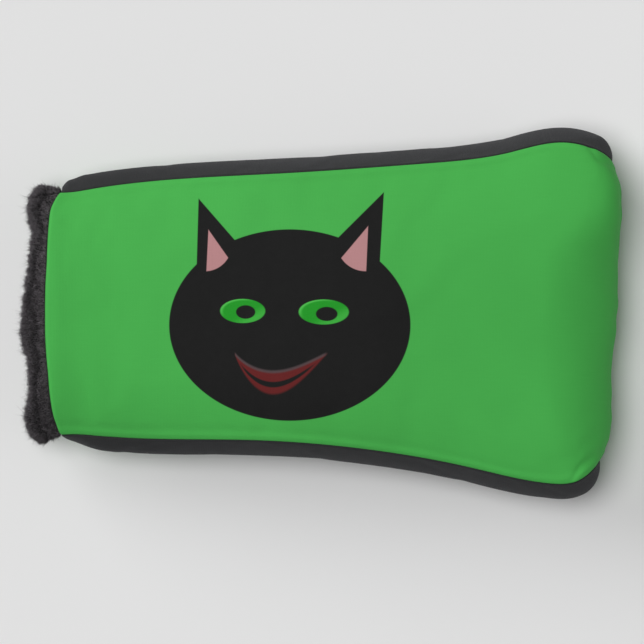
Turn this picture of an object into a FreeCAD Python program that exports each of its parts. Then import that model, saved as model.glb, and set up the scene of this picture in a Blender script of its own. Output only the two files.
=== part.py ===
"""Putter head cover: a padded cloth sock that slides over a putter's head, mouth first.

Two printed panels, front and back, wrap over the far end and meet in a seam there. A dark gusset joins
them along each side. Behind that shell lie a foam layer and a pile lining, and a rolled pile cuff edges
the mouth. Every layer is cut as four pieces, and rows of stitches hold the shell's seams.

The cover lies on its back. +X runs from the mouth to the far end, +Y to the left as seen from the
mouth, and +Z up, out of the front panel. The origin is the middle of the underside. Millimetres.
"""

import FreeCAD
import Part
import math
import os

Vector = FreeCAD.Vector

# Overall shape. x counts from the middle of the mouth's edge, and z from the seams' middle plane. The
# thickness grows from the mouth's to the full one over each growth length.
LENGTH = 195.2
MOUTH_SCOOP = 5.0
MOUTH_HALF_THICKNESS = 17.0
FRONT_HEIGHT = 26.0
FRONT_GROWTH = 120.0
FLOOR_DEPTH = 21.0
FLOOR_PRESS = 0.6
FLOOR_GROWTH = 40.0
CROWN_POWER = 3.0
END_ROUND = 26.0

# The side seams in plan, from the mouth's corner to the gusset's far tip.
LEFT_SEAM = [
    (MOUTH_SCOOP, 40.8),
    (15.0, 42.0),
    (30.0, 44.1),
    (80.0, 47.3),
    (130.0, 50.7),
    (158.0, 54.3),
    (177.0, 57.9),
    (188.3, 55.2),
    (193.9, 50.7),
]
RIGHT_SEAM = [
    (MOUTH_SCOOP, -42.6),
    (30.0, -43.8),
    (70.0, -44.4),
    (115.0, -48.2),
    (145.0, -53.7),
    (173.0, -59.3),
    (180.5, -58.9),
    (185.3, -56.1),
    (189.8, -50.5),
]

# At its tip a seam runs inwards, and this far towards the end for each millimetre of that.
TIP_SLANT = 0.6

# The gussets: half of the height between the two seams, the bulge past them, and the round far end. The
# growth is a share of the seam, and so are the stretches where the bulge rises, for the left side, 1, and
# the right one, -1. Towards its tip a gusset's cloth crowds to both seams, the more sharply the higher
# TIP_POWER is.
GUSSET_MOUTH_HALF = 8.0
GUSSET_FULL_HALF = 18.0
GUSSET_GROWTH = 0.45
GUSSET_BULGE = 5.0
GUSSET_ROUND = 0.07
BULGE_FROM_MOUTH = {1: 0.05, -1: 0.095}
BULGE_FROM_TIP = {1: 0.042, -1: 0.06}
TIP_POWER = 8

# Layers, as depths below the outer surface.
SHELL = 1.2
FOAM = 2.0
LINING = 3.3
FOAM_DEPTH = SHELL
LINING_DEPTH = SHELL + FOAM
INNER_DEPTH = SHELL + FOAM + LINING

# How fast a layer closes in at a seam, across and in height, for each millimetre of depth.
SEAM_INSET = 0.7
SEAM_DROP = 0.8

# The foam stops short of every seam, as shares of a panel, and leaves room for the stitches.
FOAM_ACROSS = 0.95
FOAM_ACROSS_GUSSET = 0.88
FOAM_FROM_MOUTH = 0.02
FOAM_TO_END = 0.985

# The cuff: how far it reaches in front of the mouth, and the depths where it begins outside and ends inside.
CUFF_LENGTH = 8.2
CUFF_OUTER = -1.4
CUFF_INNER = INNER_DEPTH + 0.9

# Stitches: short rods of thread with six sides, end to end with gaps.
STITCH_LENGTH = 2.2
STITCH_PITCH = 3.2
STITCH_RADIUS = 0.3
STITCH_DEPTH = 1.9
STITCH_SIDES = 6

# Where the rows of stitches run, as shares of their piece's course along and half width across.
SIDE_STITCHES = (0.03, 0.99)
END_STITCHES = 0.97
MOUTH_STITCH_LINE = 0.008
MOUTH_STITCHES = 0.96
MOUTH_STITCHES_GUSSET = 0.7

# How each surface is sampled, and the share of a panel's course that comes before its rounded end.
STRAIGHT_SHARE = 0.75
ALONG = 41
ACROSS = 17
CUFF_AROUND = 13
MESH_STEP = 0.05
FRONT, BACK = 1, -1
QUARTER = math.pi / 2


def smooth(t):
    """An S curve from 0 to 1 as t goes from 0 to 1."""
    t = min(max(t, 0.0), 1.0)
    return t * t * (3 - 2 * t)


def rise(t):
    """A quarter of a sine wave from 0 to 1 as t goes from 0 to 1, level after that."""
    return math.sin(QUARTER * min(max(t, 0.0), 1.0))


class SideSeam:
    """One side's seam in plan, shared by the front panel, the gusset and the back panel."""

    def __init__(self, points, outward):
        self.curve = Part.BSplineCurve()
        self.curve.interpolate(
            Points=[Vector(x, y, 0) for x, y in points],
            InitialTangent=Vector(1, 0, 0),
            FinalTangent=Vector(TIP_SLANT, -outward, 0).normalize(),
        )
        self.outward = outward

    def plan(self, q, depth, bulge=0.0):
        """The point at share q of the seam, moved in for a layer and out for the gusset's bulge."""
        first, last = self.curve.FirstParameter, self.curve.LastParameter
        parameter = first + q * (last - first)
        along = Vector(self.curve.tangent(parameter)[0]).normalize()
        out = Vector(-along.y, along.x, 0) * self.outward
        return self.curve.value(parameter) + out * (bulge - SEAM_INSET * depth)


LEFT = SideSeam(LEFT_SEAM, 1)
RIGHT = SideSeam(RIGHT_SEAM, -1)


def half_height(q, depth):
    """Half of the gusset's height at share q of its seam, before the round far end."""
    full = GUSSET_MOUTH_HALF + (GUSSET_FULL_HALF - GUSSET_MOUTH_HALF) * smooth(q / GUSSET_GROWTH)
    return full - SEAM_DROP * depth


def seam_point(seam, side, u, depth):
    """The seam between a panel and a gusset, at share u of the panel's course."""
    if u <= STRAIGHT_SHARE:
        q = u / STRAIGHT_SHARE * (1 - GUSSET_ROUND)
        z = half_height(q, depth)
    else:
        turn = (u - STRAIGHT_SHARE) / (1 - STRAIGHT_SHARE) * QUARTER
        q = 1 - GUSSET_ROUND + GUSSET_ROUND * math.sin(turn)
        z = half_height(q, depth) * math.cos(turn)
    return seam.plan(q, depth) + Vector(0, 0, side * z)


def centre_height(side, x, depth):
    """How far the panel's middle line stands from the middle plane, before the rounded end."""
    if side == FRONT:
        full, grown = FRONT_HEIGHT, smooth(x / FRONT_GROWTH)
    else:
        full, grown = FLOOR_DEPTH + FLOOR_PRESS, smooth(x / FLOOR_GROWTH)
    return MOUTH_HALF_THICKNESS + (full - MOUTH_HALF_THICKNESS) * grown - depth


def centre_point(side, u, depth):
    """The panel's middle line, from the mouth over the far end to the end seam."""
    straight = LENGTH - END_ROUND
    if u <= STRAIGHT_SHARE:
        x = u / STRAIGHT_SHARE * straight
        return Vector(x, 0, side * centre_height(side, x, depth))
    turn = (u - STRAIGHT_SHARE) / (1 - STRAIGHT_SHARE) * QUARTER
    x = straight + (END_ROUND - depth) * math.sin(turn)
    return Vector(x, 0, side * centre_height(side, straight, depth) * math.cos(turn))


def panel_point(side):
    """The front or back panel as a function: u from mouth to end seam, v from right to left, depth."""

    def point(u, v, depth):
        right = seam_point(RIGHT, side, u, depth)
        left = seam_point(LEFT, side, u, depth)
        crown = centre_point(side, u, depth) - (left + right) * 0.5
        flat = right * ((1 - v) / 2) + left * ((1 + v) / 2)
        return flat + crown * (1 - abs(v) ** CROWN_POWER)

    return point


def gusset_point(seam):
    """A gusset as a function: u from mouth to tip, v from the back seam to the front seam, depth."""

    def point(u, v, depth):
        turn = v * QUARTER
        q = u * (1 - GUSSET_ROUND + GUSSET_ROUND * math.cos(turn))
        up = v + (math.sin(turn) - v) * u**TIP_POWER
        z = up * half_height(u * (1 - GUSSET_ROUND), depth)
        full = GUSSET_BULGE * rise(u / BULGE_FROM_MOUTH[seam.outward]) - (1 - SEAM_INSET) * depth
        bulge = full * rise((1 - u) / BULGE_FROM_TIP[seam.outward]) * (1 - up * up)
        return seam.plan(q, depth, bulge) + Vector(0, 0, z)

    return point


PANELS = {
    "front": panel_point(FRONT),
    "back": panel_point(BACK),
    "left": gusset_point(LEFT),
    "right": gusset_point(RIGHT),
}
SHELL_NAMES = {
    "front": "front_panel",
    "back": "back_panel",
    "left": "left_gusset",
    "right": "right_gusset",
}
# Around the mouth: each piece's v where its edge begins and ends.
MOUTH_ORDER = [("front", -1, 1), ("left", 1, -1), ("back", 1, -1), ("right", -1, 1)]


def steps(low, high, count):
    """count numbers evenly spaced from low to high."""
    return [low + (high - low) * i / (count - 1) for i in range(count)]


def course(name, low, high):
    """The rows along a piece. A gusset's are closer together towards its far tip."""
    if name in ("front", "back"):
        return steps(low, high, ALONG)
    return [low + (high - low) * rise(t) for t in steps(0, 1, ALONG)]


def skin(point, rows, columns):
    """A smooth surface through point(row, column)."""
    surface = Part.BSplineSurface()
    surface.interpolate([[point(r, c) for c in columns] for r in rows])
    return surface


def closed(faces):
    """One solid from the faces that bound it."""
    shell = Part.makeShell(faces)
    shell.sewShape()
    solid = Part.makeSolid(shell)
    if solid.Volume < 0:
        solid.reverse()
    return solid


def slab(point, us, vs, outer_depth, inner_depth):
    """The solid between two depths of one piece, over a grid of us and vs."""
    outer = skin(lambda u, v: point(u, v, outer_depth), us, vs)
    inner = skin(lambda u, v: point(u, v, inner_depth), us, vs)
    u0, u1, v0, v1 = outer.bounds()
    w0, w1, y0, y1 = inner.bounds()
    borders = [
        (outer.uIso(u0), inner.uIso(w0)),
        (outer.uIso(u1), inner.uIso(w1)),
        (outer.vIso(v0), inner.vIso(y0)),
        (outer.vIso(v1), inner.vIso(y1)),
    ]
    rims = [Part.makeRuledSurface(a.toShape(), b.toShape()) for a, b in borders]
    return closed([outer.toShape(), inner.toShape(), *rims])


def shell_piece(name):
    """A printed panel or a gusset. The back panel is pressed flat where it lies on the ground."""
    piece = slab(PANELS[name], course(name, 0, 1), steps(-1, 1, ACROSS), 0, SHELL)
    if name == "back":
        reach = LENGTH + 2 * CUFF_LENGTH
        corner = Vector(-CUFF_LENGTH, -LENGTH / 2, -FLOOR_DEPTH - reach)
        piece = piece.cut(Part.makeBox(reach, LENGTH, reach, corner))
    return piece


def foam_piece(name):
    """Foam behind a shell piece, short of its seams."""
    across = FOAM_ACROSS if name in ("front", "back") else FOAM_ACROSS_GUSSET
    us = course(name, FOAM_FROM_MOUTH, FOAM_TO_END)
    return slab(PANELS[name], us, steps(-across, across, ACROSS), FOAM_DEPTH, LINING_DEPTH)


def lining_piece(name):
    """Pile lining behind the foam."""
    us = course(name, 0, 1)
    return slab(PANELS[name], us, steps(-1, 1, ACROSS), LINING_DEPTH, INNER_DEPTH)


def cuff_piece(name):
    """A length of the rolled pile edge in front of the mouth: a half-round roll with a flat back."""
    point = PANELS[name]

    def roll(v, turn):
        """turn goes from 0 at the outer side to pi at the inner side, over the roll's nose."""
        outside, inside = point(0, v, CUFF_OUTER), point(0, v, CUFF_INNER)
        rim = (outside + inside) * 0.5 + (outside - inside) * (0.5 * math.cos(turn))
        return rim - Vector(CUFF_LENGTH * math.sin(turn), 0, 0)

    vs, turns = steps(-1, 1, ACROSS), steps(0, math.pi, CUFF_AROUND)
    nose = skin(roll, vs, turns)
    v0, v1, t0, t1 = nose.bounds()
    back = Part.makeRuledSurface(nose.vIso(t0).toShape(), nose.vIso(t1).toShape())
    ends = []
    for v in (v0, v1):
        arc = nose.uIso(v)
        chord = Part.makeLine(arc.EndPoint, arc.StartPoint)
        ends.append(Part.Face(Part.Wire([arc.toShape(), chord])))
    return closed([nose.toShape(), back, *ends])


def stitches(path):
    """Rods of thread along path, a list of points close together."""
    line = Part.BSplineCurve()
    line.interpolate(path)
    edge = line.toShape()
    count = int(edge.Length / STITCH_PITCH)
    start = (edge.Length - (count - 1) * STITCH_PITCH) / 2
    rods = []
    for i in range(count):
        parameter = edge.getParameterByLength(start + i * STITCH_PITCH)
        along = edge.tangentAt(parameter)
        frame = FreeCAD.Placement(edge.valueAt(parameter), FreeCAD.Rotation(Vector(0, 0, 1), along))
        base = Vector(0, 0, -STITCH_LENGTH / 2)
        angles = [2 * math.pi * k / STITCH_SIDES for k in range(STITCH_SIDES + 1)]
        ring = [Vector(math.cos(a), math.sin(a), 0) * STITCH_RADIUS + base for a in angles]
        rod = Part.Face(Part.makePolygon(ring)).extrude(Vector(0, 0, STITCH_LENGTH))
        rod.Placement = frame
        rods.append(rod)
    return Part.makeCompound(rods)


def side_thread(seam, side):
    """The stitches along one side seam."""
    us = steps(*SIDE_STITCHES, 4 * ALONG)
    return stitches([seam_point(seam, side, u, STITCH_DEPTH) for u in us])


def end_thread():
    """The stitches along the seam across the far end."""
    vs = steps(-END_STITCHES, END_STITCHES, 2 * ALONG)
    return stitches([PANELS["front"](1, v, STITCH_DEPTH) for v in vs])


def mouth_thread():
    """The stitches that hold the shell, the lining and the cuff together around the mouth."""
    rows = []
    for name, first, last in MOUTH_ORDER:
        keep = MOUTH_STITCHES if name in ("front", "back") else MOUTH_STITCHES_GUSSET
        vs = steps(first * keep, last * keep, ALONG)
        rows.append(stitches([PANELS[name](MOUTH_STITCH_LINE, v, STITCH_DEPTH) for v in vs]))
    return Part.makeCompound(rows)


def build():
    """Every node's shape, still measured from the mouth and the middle plane."""
    nodes = {}
    for name, shell_name in SHELL_NAMES.items():
        nodes[shell_name] = shell_piece(name)
        nodes[name + "_foam"] = foam_piece(name)
        nodes[name + "_lining"] = lining_piece(name)
        nodes[name + "_cuff"] = cuff_piece(name)
    for seam_name, seam in (("left", LEFT), ("right", RIGHT)):
        for side_name, side in (("front", FRONT), ("back", BACK)):
            nodes[f"{seam_name}_{side_name}_thread"] = side_thread(seam, side)
    nodes["end_thread"] = end_thread()
    nodes["mouth_thread"] = mouth_thread()
    return nodes


def bounds(shapes):
    """The box around the shapes, from their meshes."""
    box = FreeCAD.BoundBox()
    for shape in shapes:
        for point in shape.tessellate(MESH_STEP)[0]:
            box.add(point)
    return box


def main():
    os.makedirs("parts", exist_ok=True)
    nodes = build()
    box = bounds(nodes.values())
    origin = Vector(box.Center.x, box.Center.y, -FLOOR_DEPTH)
    for name, shape in nodes.items():
        shape.translate(-origin)
        shape.exportStep(f"parts/{name}.step")
        print(f"{name}: valid {shape.isValid()}, solids {len(shape.Solids)}, {shape.Volume:.1f} mm3")
    print(f"origin is ({origin.x:.3f}, {origin.y:.3f}, {origin.z:.3f}) from the mouth and middle plane")
    print(f"size {box.XLength:.2f} x {box.YLength:.2f} x {box.ZLength:.2f} mm")


main()
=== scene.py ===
"""The looks of the putter head cover: simulated cloth shells, pile cuff and lining, and the printed face.

Lengths are in millimetres, counted from the middle of the mouth's edge and the seams' middle plane, and
placed() turns them into the frame's metres. The driving sizes and the shape's formulas are the CAD part's.
What soft cloth adds to them, its stuffing, folds, simulated buckling and pile, exists only here.
"""

import math

import bpy
import numpy as np
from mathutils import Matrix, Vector


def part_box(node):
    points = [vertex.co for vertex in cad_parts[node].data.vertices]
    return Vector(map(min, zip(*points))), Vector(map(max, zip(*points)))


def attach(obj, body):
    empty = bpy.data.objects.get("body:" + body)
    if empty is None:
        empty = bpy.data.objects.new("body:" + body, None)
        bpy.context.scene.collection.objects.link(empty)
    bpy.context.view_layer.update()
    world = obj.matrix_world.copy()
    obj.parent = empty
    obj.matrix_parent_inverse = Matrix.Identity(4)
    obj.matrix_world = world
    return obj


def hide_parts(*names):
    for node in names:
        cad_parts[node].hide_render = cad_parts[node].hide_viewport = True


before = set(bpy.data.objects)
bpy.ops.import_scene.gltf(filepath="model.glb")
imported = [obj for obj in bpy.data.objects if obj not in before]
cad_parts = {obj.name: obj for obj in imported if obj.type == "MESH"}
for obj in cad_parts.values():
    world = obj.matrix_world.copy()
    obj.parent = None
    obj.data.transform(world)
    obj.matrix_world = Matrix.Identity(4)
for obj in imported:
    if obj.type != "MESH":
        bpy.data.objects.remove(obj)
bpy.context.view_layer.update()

MM = 0.001
SEED = 11
QUARTER = math.pi / 2

# ---------------------------------------------------------------- driving sizes, as in the CAD part

LENGTH = 195.2
MOUTH_SCOOP = 5.0
MOUTH_HALF_THICKNESS = 17.0
FRONT_HEIGHT = 26.0
FRONT_GROWTH = 120.0
FLOOR_DEPTH = 21.0
FLOOR_PRESS = 0.6
FLOOR_GROWTH = 40.0
CROWN_POWER = 3.0
END_ROUND = 26.0
LEFT_SEAM = [
    (MOUTH_SCOOP, 40.8),
    (15.0, 42.0),
    (30.0, 44.1),
    (80.0, 47.3),
    (130.0, 50.7),
    (158.0, 54.3),
    (177.0, 57.9),
    (188.3, 55.2),
    (193.9, 50.7),
]
RIGHT_SEAM = [
    (MOUTH_SCOOP, -42.6),
    (30.0, -43.8),
    (70.0, -44.4),
    (115.0, -48.2),
    (145.0, -53.7),
    (173.0, -59.3),
    (180.5, -58.9),
    (185.3, -56.1),
    (189.8, -50.5),
]
TIP_SLANT = 0.6
GUSSET_MOUTH_HALF = 8.0
GUSSET_FULL_HALF = 18.0
GUSSET_GROWTH = 0.45
GUSSET_BULGE = 5.0
GUSSET_ROUND = 0.07
BULGE_FROM_MOUTH = {1: 0.05, -1: 0.095}
BULGE_FROM_TIP = {1: 0.042, -1: 0.06}
TIP_POWER = 8
STRAIGHT_SHARE = 0.75
SEAM_INSET = 0.7
SEAM_DROP = 0.8
FRONT, BACK = 1, -1

# Layers of the wall, as depths below the outer surface.
SHELL = 0.9
FOAM_DEPTH = 1.2
LINING_DEPTH = 3.2
INNER_DEPTH = 5.6

# ---------------------------------------------------------------- uneven stuffing, which the CAD leaves out

# Each list goes across the cover as (place, size), from the right seam, -1, to the left one, 1. The far end
# swells, the front's mouth edge swells over a share MOUTH_REACH of the panel, and the front sags from
# SAG_FROM onwards, over SAG_LENGTH.
END_SWELL = [
    (-1.0, 0.2),
    (-0.87, 1.7),
    (-0.7, 1.1),
    (-0.45, -0.45),
    (-0.2, 0.0),
    (0.0, 0.6),
    (0.15, 0.6),
    (0.33, 0.0),
    (0.58, 1.3),
    (0.86, 2.0),
    (1.0, 0.2),
]
MOUTH_SWELL = [
    (-1.0, 0.0),
    (-0.85, 0.3),
    (-0.75, 0.0),
    (-0.52, -0.5),
    (-0.2, 0.0),
    (0.4, 0.0),
    (0.6, 0.7),
    (0.76, 1.4),
    (0.86, 1.9),
    (0.94, 1.2),
    (1.0, 0.0),
]
MOUTH_REACH = 0.08
FRONT_SAG = [
    (-1.0, 3.0),
    (-0.6, 5.2),
    (-0.3, 6.0),
    (0.0, 4.6),
    (0.33, 2.1),
    (0.6, 0.4),
    (0.8, 0.0),
    (1.0, 0.0),
]
SAG_FROM, SAG_LENGTH, SAG_POWER = 106.0, 94.0, 3
# How far the corners of the swells and of the sag are rounded.
SWELL_ROUND, SAG_ROUND = 0.08, 0.2
# The front's crown is rounder on the left, and a little fuller on the right, than CROWN_POWER makes it.
LEFT_POWER, RIGHT_POWER = 2.3, 3.3
# A gusset starts with a shoulder at the mouth, of this size, place and width along its seam.
SHOULDER = {1: (1.7, 0.010, 0.015), -1: (0.3, 0.012, 0.012)}
# The left far corner is stuffed square: its rounding's power, above an ellipse's 2, around this place.
SQUARE_POWER, SQUARE_AT, SQUARE_WIDTH = 2.6, 0.76, 0.28
# The far end's fine ripple: its height, its waves from the middle to a seam, and how it bends them.
END_RIPPLE, RIPPLE_WAVES = 0.16, 23
RIPPLE_BEND, BEND_WAVES = 1.5, 9

# ---------------------------------------------------------------- the shape


def smooth(t):
    """An S curve from 0 to 1 as t goes from 0 to 1."""
    t = np.clip(t, 0.0, 1.0)
    return t * t * (3 - 2 * t)


def rise(t):
    """A quarter of a sine wave from 0 to 1 as t goes from 0 to 1, level after that."""
    return np.sin(QUARTER * np.clip(t, 0.0, 1.0))


def hill(t, centre, width):
    """A smooth hill of height 1 around centre."""
    return np.exp(-(((t - centre) / width) ** 2))


def through(points, t, width):
    """A curve near the points (t, value), with its corners rounded over width."""
    places, values = np.array(points).T
    shifts = np.linspace(-1, 1, 21)
    weights = 1 - np.abs(shifts) + 0.05
    near = [w * np.interp(t + width * shift, places, values) for w, shift in zip(weights, shifts)]
    return sum(near) / weights.sum()


def unit(vectors):
    """The vectors at length 1."""
    return vectors / np.maximum(np.linalg.norm(vectors, axis=-1, keepdims=True), 1e-9)


class SideSeam:
    """One side's seam in plan: a smooth curve through its points, with its slope given at both ends."""

    def __init__(self, points, outward):
        self.outward = outward
        self.points = p = np.array(points)
        self.at_point = np.concatenate([[0], np.cumsum(np.linalg.norm(np.diff(p, axis=0), axis=1))])
        gaps = np.diff(self.at_point)
        system, target = np.eye(len(p)), np.zeros((len(p), 2))
        target[0] = (1, 0)
        target[-1] = unit(np.array([TIP_SLANT, -outward]))
        for i in range(1, len(p) - 1):
            before, after = gaps[i - 1], gaps[i]
            system[i, i - 1 : i + 2] = after, 2 * (before + after), before
            step_in, step_out = (p[i] - p[i - 1]) / before, (p[i + 1] - p[i]) / after
            target[i] = 3 * (after * step_in + before * step_out)
        self.slopes = np.linalg.solve(system, target)

    def plan(self, q):
        """The points at shares q of the seam, and the unit outward directions there."""
        s = np.clip(q, 0, 1) * self.at_point[-1]
        i = np.clip(np.searchsorted(self.at_point, s, side="right") - 1, 0, len(self.points) - 2)
        gap = (self.at_point[i + 1] - self.at_point[i])[..., None]
        t = (s - self.at_point[i])[..., None] / gap
        a, b, m, n = self.points[i], self.points[i + 1], self.slopes[i] * gap, self.slopes[i + 1] * gap
        value = (2 * t**3 - 3 * t**2 + 1) * a + (t**3 - 2 * t**2 + t) * m
        value = value + (3 * t**2 - 2 * t**3) * b + (t**3 - t**2) * n
        slope = unit((6 * t**2 - 6 * t) * (a - b) + (3 * t**2 - 4 * t + 1) * m + (3 * t**2 - 2 * t) * n)
        return value, np.stack([-slope[..., 1], slope[..., 0]], -1) * self.outward


LEFT = SideSeam(LEFT_SEAM, 1)
RIGHT = SideSeam(RIGHT_SEAM, -1)


def half_height(q, depth):
    """Half of the gusset's height at share q of its seam, before the round far end."""
    full = GUSSET_MOUTH_HALF + (GUSSET_FULL_HALF - GUSSET_MOUTH_HALF) * smooth(q / GUSSET_GROWTH)
    return full - SEAM_DROP * depth


def end_turn(u):
    """How far share u of a panel's course has turned over the far end, from 0 to a quarter turn."""
    return np.clip((u - STRAIGHT_SHARE) / (1 - STRAIGHT_SHARE), 0, 1) * QUARTER


def seam_share(u):
    """The share of the side seam at share u of a panel's course."""
    return np.minimum(u / STRAIGHT_SHARE, 1) * (1 - GUSSET_ROUND) + GUSSET_ROUND * np.sin(end_turn(u))


def seam_point(seam, side, u, depth):
    """The seam between a panel and a gusset, at share u of the panel's course."""
    q = seam_share(u)
    plan, out = seam.plan(q)
    z = side * half_height(q, depth) * np.cos(end_turn(u))
    return np.concatenate([plan - out * (SEAM_INSET * depth), z[..., None]], -1)


def centre_point(side, u, depth):
    """A panel's middle line, from the mouth over the far end to the end seam."""
    x = np.minimum(u / STRAIGHT_SHARE, 1) * (LENGTH - END_ROUND)
    if side == FRONT:
        full, grown = FRONT_HEIGHT, smooth(x / FRONT_GROWTH)
    else:
        full, grown = FLOOR_DEPTH + FLOOR_PRESS, smooth(x / FLOOR_GROWTH)
    height = MOUTH_HALF_THICKNESS + (full - MOUTH_HALF_THICKNESS) * grown - depth
    turn = end_turn(u)
    x = x + (END_ROUND - depth) * np.sin(turn)
    return np.stack([x, np.zeros_like(x), side * height * np.cos(turn)], -1)


def end_swell(u, v):
    """How far the far end stands out at v, with the fine ripple of its seam."""
    ripple = END_RIPPLE * np.sin(RIPPLE_WAVES * v + RIPPLE_BEND * np.sin(BEND_WAVES * v)) * (1 - v**4)
    return (through(END_SWELL, v, SWELL_ROUND) + ripple) * np.sin(end_turn(u)) ** 2


def square_end(u, v):
    """How much higher than an ellipse's the front's rounding over the far end is."""
    power = 2 + SQUARE_POWER * hill(v, SQUARE_AT, SQUARE_WIDTH) * (1 - v**10)
    turn = end_turn(u)
    return (1 - np.sin(turn) ** power) ** (1 / power) / np.maximum(np.cos(turn), 1e-9)


def stuffed(p, u, v):
    """Front points shaped by the uneven stuffing."""
    p[..., 0] -= through(MOUTH_SWELL, v, SWELL_ROUND) * np.clip(1 - u / MOUTH_REACH, 0, 1) ** 2
    sag = through(FRONT_SAG, v, SAG_ROUND) * (1 - np.abs(v) ** SAG_POWER)
    sag = sag * smooth((p[..., 0] - SAG_FROM) / SAG_LENGTH)
    p[..., 2] = p[..., 2] * square_end(u, v) - sag * np.cos(end_turn(u))
    return p


def panel_point(side):
    """The front or back panel: u from mouth to end seam, v from right to left."""

    def point(u, v, depth):
        right, left = seam_point(RIGHT, side, u, depth), seam_point(LEFT, side, u, depth)
        crown = centre_point(side, u, depth) - (left + right) / 2
        flat = right * ((1 - v) / 2)[..., None] + left * ((1 + v) / 2)[..., None]
        power = np.where(v > 0, LEFT_POWER, RIGHT_POWER) if side == FRONT else CROWN_POWER
        p = flat + crown * (1 - np.abs(v) ** power)[..., None]
        p[..., 0] += end_swell(u, v)
        return stuffed(p, u, v) if side == FRONT else p

    return point


def gusset_point(seam):
    """A gusset: u from mouth to tip, v from the back seam to the front seam."""

    def point(u, v, depth):
        turn = v * QUARTER
        q = u * (1 - GUSSET_ROUND + GUSSET_ROUND * np.cos(turn))
        up = v + (np.sin(turn) - v) * u**TIP_POWER
        z = up * half_height(u * (1 - GUSSET_ROUND), depth)
        full = GUSSET_BULGE * rise(u / BULGE_FROM_MOUTH[seam.outward]) - (1 - SEAM_INSET) * depth
        size, place, width = SHOULDER[seam.outward]
        full = full + size * hill(u, place, width)
        bulge = full * rise((1 - u) / BULGE_FROM_TIP[seam.outward]) * (1 - up * up)
        plan, out = seam.plan(q)
        return np.concatenate([plan + out * (bulge - SEAM_INSET * depth)[..., None], z[..., None]], -1)

    return point


PIECES = {
    "front": panel_point(FRONT),
    "back": panel_point(BACK),
    "left": gusset_point(LEFT),
    "right": gusset_point(RIGHT),
}
SEAMS = {"left": LEFT, "right": RIGHT}
SIDES = {"front": FRONT, "back": BACK}
PANELS = ("front", "back")
# These pieces' u and v directions turn the other way round, so their faces are turned over.
INSIDE_OUT = ("back", "left")

# The frame's origin, in cover millimetres: the front panel's box starts at the mouth and the middle plane.
PANEL_LOW, PANEL_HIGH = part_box("front_panel")
SEAM_SHARES = np.linspace(0, 1, 400)
WIDEST = (LEFT.plan(SEAM_SHARES)[0][:, 1].max() + RIGHT.plan(SEAM_SHARES)[0][:, 1].min()) / 2
ORIGIN = np.array([-PANEL_LOW.x / MM, WIDEST - (PANEL_LOW.y + PANEL_HIGH.y) / 2 / MM, -PANEL_LOW.z / MM])


def placed(points):
    """Points of the cover in millimetres as points of the frame in metres."""
    return (np.asarray(points) - ORIGIN) * MM


# ---------------------------------------------------------------- the cloth simulation

ROWS_STRAIGHT, ROWS_ROUND, COLUMNS = 69, 17, 45
FRAMES = 24
HELD_SEAM, HELD_CLOTH = 1.0, 0.1
PRESSURE = 1.5


def grid(name):
    """The coarse rows and columns that one piece is simulated on, its edge points shared with the next."""
    if name in PANELS:
        before = np.linspace(0, STRAIGHT_SHARE, ROWS_STRAIGHT)
        us = np.concatenate([before, np.linspace(STRAIGHT_SHARE, 1, ROWS_ROUND)[1:]])
        return us, np.linspace(-1, 1, COLUMNS)
    return np.linspace(0, 1, ROWS_STRAIGHT), np.linspace(-1, 1, 2 * ROWS_ROUND - 1)


def surface(name, us, vs, depth=0.0):
    """A grid of points on one piece, at a depth."""
    u, v = np.meshgrid(us, vs, indexing="ij")
    return PIECES[name](u, v, depth)


def quads(rows, columns, turned, start=0):
    """The faces of a grid of points, numbered from start."""
    i = start + np.arange(rows * columns).reshape(rows, columns)
    faces = np.stack([i[:-1, :-1], i[1:, :-1], i[1:, 1:], i[:-1, 1:]], -1).reshape(-1, 4)
    return faces[:, ::-1] if turned else faces


def simulate():
    """Fills the sewn shell like a cushion, its seams held, and returns how far each point moved."""
    grids = {name: surface(name, *grid(name)) for name in PIECES}
    faces, held, start = [], [], 0
    for name, p in grids.items():
        rows, columns = p.shape[:2]
        border = np.zeros((rows, columns), bool)
        border[:, [0, -1]] = border[0] = True
        if name in SEAMS:
            border[-1] = True
        held.append(border.ravel())
        faces.append(quads(rows, columns, name in INSIDE_OUT, start))
        start += rows * columns
    points, held = np.concatenate([p.reshape(-1, 3) for p in grids.values()]), np.concatenate(held)

    mesh = bpy.data.meshes.new("sewn_shell")
    mesh.from_pydata(placed(points).tolist(), [], np.concatenate(faces).tolist())
    shell = bpy.data.objects.new("sewn_shell", mesh)
    scene = bpy.context.scene
    scene.collection.objects.link(shell)
    pin = shell.vertex_groups.new(name="seams")
    pin.add(np.flatnonzero(held).tolist(), HELD_SEAM, "REPLACE")
    pin.add(np.flatnonzero(~held).tolist(), HELD_CLOTH, "REPLACE")
    cloth = shell.modifiers.new("Cloth", "CLOTH")
    settings = cloth.settings
    settings.quality = 6
    settings.mass = 0.2
    settings.tension_stiffness = settings.compression_stiffness = 20
    settings.shear_stiffness = 10
    settings.bending_stiffness = 3
    settings.vertex_group_mass = pin.name
    settings.shrink_min = -0.01
    settings.use_pressure = True
    settings.uniform_pressure_force = PRESSURE
    settings.effector_weights.gravity = 0
    cloth.collision_settings.use_collision = False
    cloth.point_cache.frame_start, cloth.point_cache.frame_end = 1, FRAMES
    for number in range(1, FRAMES + 1):
        scene.frame_set(number)
    done = shell.evaluated_get(bpy.context.evaluated_depsgraph_get()).to_mesh()
    after = np.empty(len(points) * 3)
    done.vertices.foreach_get("co", after)
    moved = after.reshape(-1, 3) / MM + ORIGIN - points
    bpy.data.objects.remove(shell)
    scene.frame_set(1)
    ends = np.cumsum([0] + [p.shape[0] * p.shape[1] for p in grids.values()])
    return {name: moved[a:b].reshape(p.shape) for (name, p), a, b in zip(grids.items(), ends, ends[1:])}


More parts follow.
